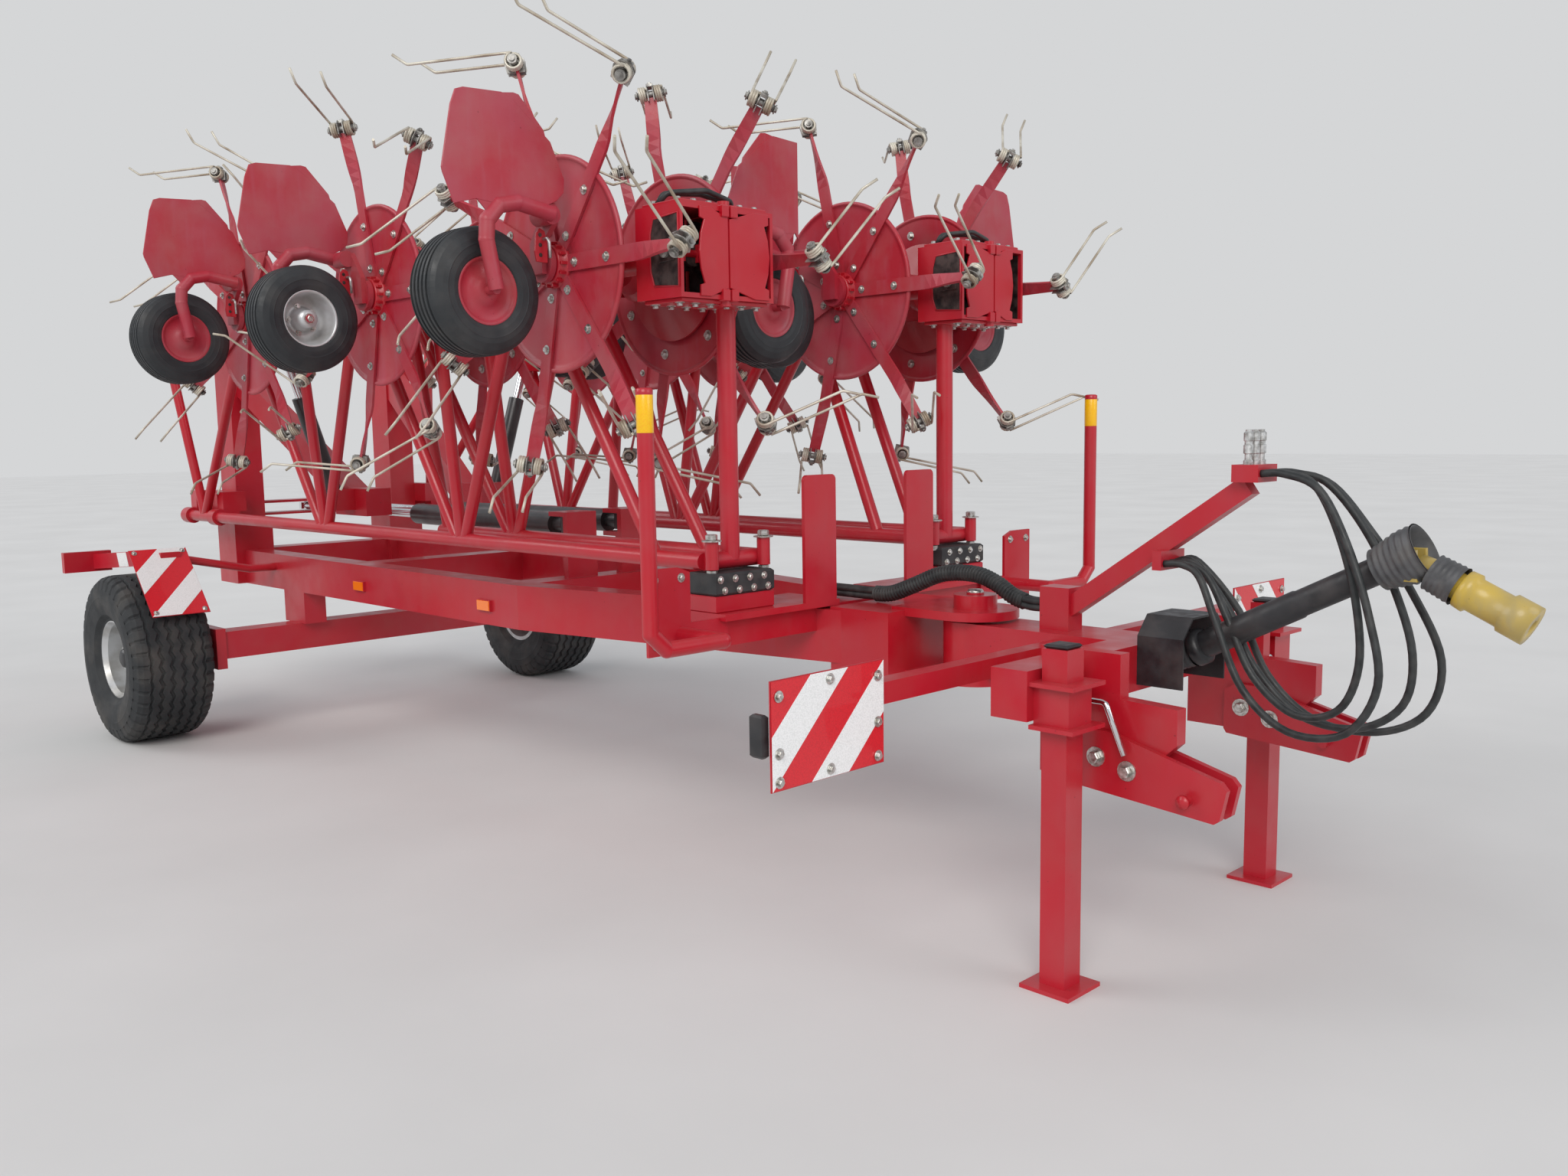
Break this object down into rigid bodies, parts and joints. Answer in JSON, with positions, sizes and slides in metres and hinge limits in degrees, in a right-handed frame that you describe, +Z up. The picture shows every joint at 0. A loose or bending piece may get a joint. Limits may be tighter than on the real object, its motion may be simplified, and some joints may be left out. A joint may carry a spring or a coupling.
{
  "type": "folded hay tedder",
  "caption": "Trailed rotary hay tedder folded for the road: chassis on two tyres and stands, two swinging wing frames with tined rotors, steering headstock, hitch pins and drive shaft.",
  "frame": {"origin": "on the ground, midway between the rear end of the outer rails and the drive shaft's front end, on the centre plane", "axes": "+X forwards to the hitch, +Y to the machine's left, +Z up"},
  "size_m": [6.9092, 2.9898, 2.9207],
  "materials": {
    "frame_red": "semi-gloss paint",
    "gearbox_red": "semi-gloss paint on castings",
    "rim": "silver paint",
    "tyre": "matt",
    "black_metal": "semi-gloss black paint",
    "chrome_rod": "polished",
    "rubber": "matt",
    "guard_plastic": "matt",
    "hose": "matt",
    "coupler": "zinc plated"
  },
  "bodies": {
    "chassis": {"main_frame": "frame_red", "rear_axle": "frame_red", "wing_rests": "frame_red", "rest_pads": "rubber", "guard_posts": "frame_red", "rear_markers": "frame_red"},
    "transport_wheel_right": {"rim_right": "rim", "tyre_right": "tyre"},
    "tower_right": {"tower_right": "frame_red"},
    "wing_right": {"wing_frame_right": "frame_red", "wing_legs_right": "frame_red", "gear_housings_right": "gearbox_red", "wheel_arms_right": "frame_red"},
    "swing_barrel_right": {"swing_barrel_right": "black_metal"},
    "swing_rod_right": {"swing_rod_right": "chrome_rod"},
    "tilt_barrel_right": {"tilt_barrel_right": "black_metal"},
    "tilt_rod_right": {"tilt_rod_right": "chrome_rod"},
    "rotor_right_1": {"rotor_right_1": "frame_red"},
    "wheel_right_1": {"wheel_right_1": "tyre"},
    "rotor_right_2": {"rotor_right_2": "frame_red"},
    "wheel_right_2": {"wheel_right_2": "tyre"},
    "rotor_right_3": {"rotor_right_3": "frame_red"},
    "wheel_right_3": {"wheel_right_3": "tyre"},
    "rotor_right_4": {"rotor_right_4": "frame_red"},
    "wheel_right_4": {"wheel_right_4": "tyre"},
    "rotor_right_5": {"rotor_right_5": "frame_red"},
    "wheel_right_5": {"wheel_right_5": "tyre"},
    "transport_wheel_left": {"rim_left": "rim", "tyre_left": "tyre"},
    "tower_left": {"tower_left": "frame_red"},
    "wing_left": {"wing_frame_left": "frame_red", "wing_legs_left": "frame_red", "gear_housings_left": "gearbox_red", "wheel_arms_left": "frame_red"},
    "swing_barrel_left": {"swing_barrel_left": "black_metal"},
    "swing_rod_left": {"swing_rod_left": "chrome_rod"},
    "tilt_barrel_left": {"tilt_barrel_left": "black_metal"},
    "tilt_rod_left": {"tilt_rod_left": "chrome_rod"},
    "rotor_left_1": {"rotor_left_1": "frame_red"},
    "wheel_left_1": {"wheel_left_1": "tyre"},
    "rotor_left_2": {"rotor_left_2": "frame_red"},
    "wheel_left_2": {"wheel_left_2": "tyre"},
    "rotor_left_3": {"rotor_left_3": "frame_red"},
    "wheel_left_3": {"wheel_left_3": "tyre"},
    "rotor_left_4": {"rotor_left_4": "frame_red"},
    "wheel_left_4": {"wheel_left_4": "tyre"},
    "rotor_left_5": {"rotor_left_5": "frame_red"},
    "wheel_left_5": {"wheel_left_5": "tyre"},
    "headstock": {"headstock": "frame_red", "link_arms": "frame_red", "pto_guard": "guard_plastic", "pto_shaft": "guard_plastic", "front_markers": "frame_red", "hose_carrier": "frame_red", "hose_couplers": "coupler", "conduit": "hose", "hose_loop_1": "hose", "hose_loop_2": "hose"},
    "stand_right": {"stand_right": "frame_red"},
    "stand_left": {"stand_left": "frame_red"}
  },
  "joints": [
    {"name": "transport_wheel_right_spin", "type": "hinge", "parent": "chassis", "child": "transport_wheel_right", "pos_m": [-2.7523, -1.22, 0.435], "axis": [0, 1, 0], "continuous": true},
    {"name": "swing_right", "type": "hinge", "parent": "chassis", "child": "tower_right", "pos_m": [-3.2023, -0.48, 1.1], "axis": [0, 0, -1], "range_deg": [0, 90]},
    {"name": "tilt_right", "type": "hinge", "parent": "tower_right", "child": "wing_right", "pos_m": [-2.7523, -0.71, 1.12], "axis": [1, 0, 0], "range_deg": [0, 90]},
    {"name": "swing_barrel_right_pivot", "type": "hinge", "parent": "chassis", "child": "swing_barrel_right", "pos_m": [-0.4523, -0.15, 1.148], "axis": [0, 0, 1], "range_deg": [0, 8.2]},
    {"name": "swing_rod_right_slide", "type": "slide", "parent": "swing_barrel_right", "child": "swing_rod_right", "axis": [-0.9997, 0.0249, 0], "range_m": [-0.4456, 0]},
    {"name": "tilt_barrel_right_pivot", "type": "hinge", "parent": "tower_right", "child": "tilt_barrel_right", "pos_m": [-2.0393, -0.48, 1.24], "axis": [1, 0, 0], "range_deg": [0, 79]},
    {"name": "tilt_rod_right_slide", "type": "slide", "parent": "tilt_barrel_right", "child": "tilt_rod_right", "axis": [0, -0.296, 0.9552], "range_m": [0, 0.323]},
    {"name": "rotor_right_1_spin", "type": "hinge", "parent": "wing_right", "child": "rotor_right_1", "pos_m": [0.6777, -0.97, 2.12], "axis": [0, 1, 0], "continuous": true},
    {"name": "wheel_right_1_spin", "type": "hinge", "parent": "wing_right", "child": "wheel_right_1", "pos_m": [0.6777, -1.29, 2.01], "axis": [1, 0, 0], "continuous": true},
    {"name": "rotor_right_2_spin", "type": "hinge", "parent": "wing_right", "child": "rotor_right_2", "pos_m": [-0.5723, -0.97, 2.12], "axis": [0, 1, 0], "continuous": true},
    {"name": "wheel_right_2_spin", "type": "hinge", "parent": "wing_right", "child": "wheel_right_2", "pos_m": [-0.5723, -1.29, 2.01], "axis": [1, 0, 0], "continuous": true},
    {"name": "rotor_right_3_spin", "type": "hinge", "parent": "wing_right", "child": "rotor_right_3", "pos_m": [-1.8223, -0.97, 2.12], "axis": [0, 1, 0], "continuous": true},
    {"name": "wheel_right_3_spin", "type": "hinge", "parent": "wing_right", "child": "wheel_right_3", "pos_m": [-1.8223, -1.29, 2.01], "axis": [1, 0, 0], "continuous": true},
    {"name": "rotor_right_4_spin", "type": "hinge", "parent": "wing_right", "child": "rotor_right_4", "pos_m": [0.6777, -0.45, 2.12], "axis": [0, 1, 0], "continuous": true},
    {"name": "wheel_right_4_spin", "type": "hinge", "parent": "wing_right", "child": "wheel_right_4", "pos_m": [0.7877, -0.13, 2.01], "axis": [1, 0, 0], "continuous": true},
    {"name": "rotor_right_5_spin", "type": "hinge", "parent": "wing_right", "child": "rotor_right_5", "pos_m": [-0.5723, -0.45, 2.12], "axis": [0, 1, 0], "continuous": true},
    {"name": "wheel_right_5_spin", "type": "hinge", "parent": "wing_right", "child": "wheel_right_5", "pos_m": [-0.4623, -0.13, 2.01], "axis": [1, 0, 0], "continuous": true},
    {"name": "transport_wheel_left_spin", "type": "hinge", "parent": "chassis", "child": "transport_wheel_left", "pos_m": [-2.7523, 1.22, 0.435], "axis": [0, 1, 0], "continuous": true},
    {"name": "swing_left", "type": "hinge", "parent": "chassis", "child": "tower_left", "pos_m": [-3.2023, 0.48, 1.1], "axis": [0, 0, 1], "range_deg": [0, 90]},
    {"name": "tilt_left", "type": "hinge", "parent": "tower_left", "child": "wing_left", "pos_m": [-2.7523, 0.71, 1.12], "axis": [-1, 0, 0], "range_deg": [0, 90]},
    {"name": "swing_barrel_left_pivot", "type": "hinge", "parent": "chassis", "child": "swing_barrel_left", "pos_m": [-0.4523, 0.15, 1.148], "axis": [0, 0, -1], "range_deg": [0, 8.2]},
    {"name": "swing_rod_left_slide", "type": "slide", "parent": "swing_barrel_left", "child": "swing_rod_left", "axis": [-0.9997, -0.0249, 0], "range_m": [-0.4456, 0]},
    {"name": "tilt_barrel_left_pivot", "type": "hinge", "parent": "tower_left", "child": "tilt_barrel_left", "pos_m": [-2.0393, 0.48, 1.24], "axis": [-1, 0, 0], "range_deg": [0, 79]},
    {"name": "tilt_rod_left_slide", "type": "slide", "parent": "tilt_barrel_left", "child": "tilt_rod_left", "axis": [0, 0.296, 0.9552], "range_m": [0, 0.323]},
    {"name": "rotor_left_1_spin", "type": "hinge", "parent": "wing_left", "child": "rotor_left_1", "pos_m": [0.6777, 0.97, 2.12], "axis": [0, 1, 0], "continuous": true},
    {"name": "wheel_left_1_spin", "type": "hinge", "parent": "wing_left", "child": "wheel_left_1", "pos_m": [0.6777, 1.29, 2.01], "axis": [1, 0, 0], "continuous": true},
    {"name": "rotor_left_2_spin", "type": "hinge", "parent": "wing_left", "child": "rotor_left_2", "pos_m": [-0.5723, 0.97, 2.12], "axis": [0, 1, 0], "continuous": true},
    {"name": "wheel_left_2_spin", "type": "hinge", "parent": "wing_left", "child": "wheel_left_2", "pos_m": [-0.5723, 1.29, 2.01], "axis": [1, 0, 0], "continuous": true},
    {"name": "rotor_left_3_spin", "type": "hinge", "parent": "wing_left", "child": "rotor_left_3", "pos_m": [-1.8223, 0.97, 2.12], "axis": [0, 1, 0], "continuous": true},
    {"name": "wheel_left_3_spin", "type": "hinge", "parent": "wing_left", "child": "wheel_left_3", "pos_m": [-1.8223, 1.29, 2.01], "axis": [1, 0, 0], "continuous": true},
    {"name": "rotor_left_4_spin", "type": "hinge", "parent": "wing_left", "child": "rotor_left_4", "pos_m": [0.6777, 0.45, 2.12], "axis": [0, 1, 0], "continuous": true},
    {"name": "wheel_left_4_spin", "type": "hinge", "parent": "wing_left", "child": "wheel_left_4", "pos_m": [0.5677, 0.13, 2.01], "axis": [1, 0, 0], "continuous": true},
    {"name": "rotor_left_5_spin", "type": "hinge", "parent": "wing_left", "child": "rotor_left_5", "pos_m": [-0.5723, 0.45, 2.12], "axis": [0, 1, 0], "continuous": true},
    {"name": "wheel_left_5_spin", "type": "hinge", "parent": "wing_left", "child": "wheel_left_5", "pos_m": [-0.6823, 0.13, 2.01], "axis": [1, 0, 0], "continuous": true},
    {"name": "steer", "type": "hinge", "parent": "chassis", "child": "headstock", "pos_m": [1.6977, 0, 0.82], "axis": [0, 0, 1], "range_deg": [-30, 30], "deforming": ["conduit"]},
    {"name": "stand_right_slide", "type": "slide", "parent": "headstock", "child": "stand_right", "axis": [0, 0, 1], "range_m": [0, 0.3]},
    {"name": "stand_left_slide", "type": "slide", "parent": "headstock", "child": "stand_left", "axis": [0, 0, 1], "range_m": [0, 0.3]}
  ],
  "couplings": [
    {"joint": "tilt_right", "follows": "swing_right", "ratio": 1},
    {"joint": "swing_barrel_right_pivot", "follows": "swing_right", "ratio": 0.08868},
    {"joint": "swing_rod_right_slide", "follows": "swing_right", "m_per_rad": -0.28355},
    {"joint": "tilt_barrel_right_pivot", "follows": "swing_right", "ratio": 0.87454},
    {"joint": "tilt_rod_right_slide", "follows": "swing_right", "m_per_rad": 0.20525},
    {"joint": "rotor_right_2_spin", "follows": "rotor_right_1_spin", "ratio": -1},
    {"joint": "rotor_right_3_spin", "follows": "rotor_right_1_spin", "ratio": 1},
    {"joint": "rotor_right_5_spin", "follows": "rotor_right_4_spin", "ratio": -1},
    {"joint": "tilt_left", "follows": "swing_left", "ratio": 1},
    {"joint": "swing_barrel_left_pivot", "follows": "swing_left", "ratio": 0.08868},
    {"joint": "swing_rod_left_slide", "follows": "swing_left", "m_per_rad": -0.28355},
    {"joint": "tilt_barrel_left_pivot", "follows": "swing_left", "ratio": 0.87454},
    {"joint": "tilt_rod_left_slide", "follows": "swing_left", "m_per_rad": 0.20525},
    {"joint": "rotor_left_2_spin", "follows": "rotor_left_1_spin", "ratio": -1},
    {"joint": "rotor_left_3_spin", "follows": "rotor_left_1_spin", "ratio": 1},
    {"joint": "rotor_left_5_spin", "follows": "rotor_left_4_spin", "ratio": -1}
  ]
}
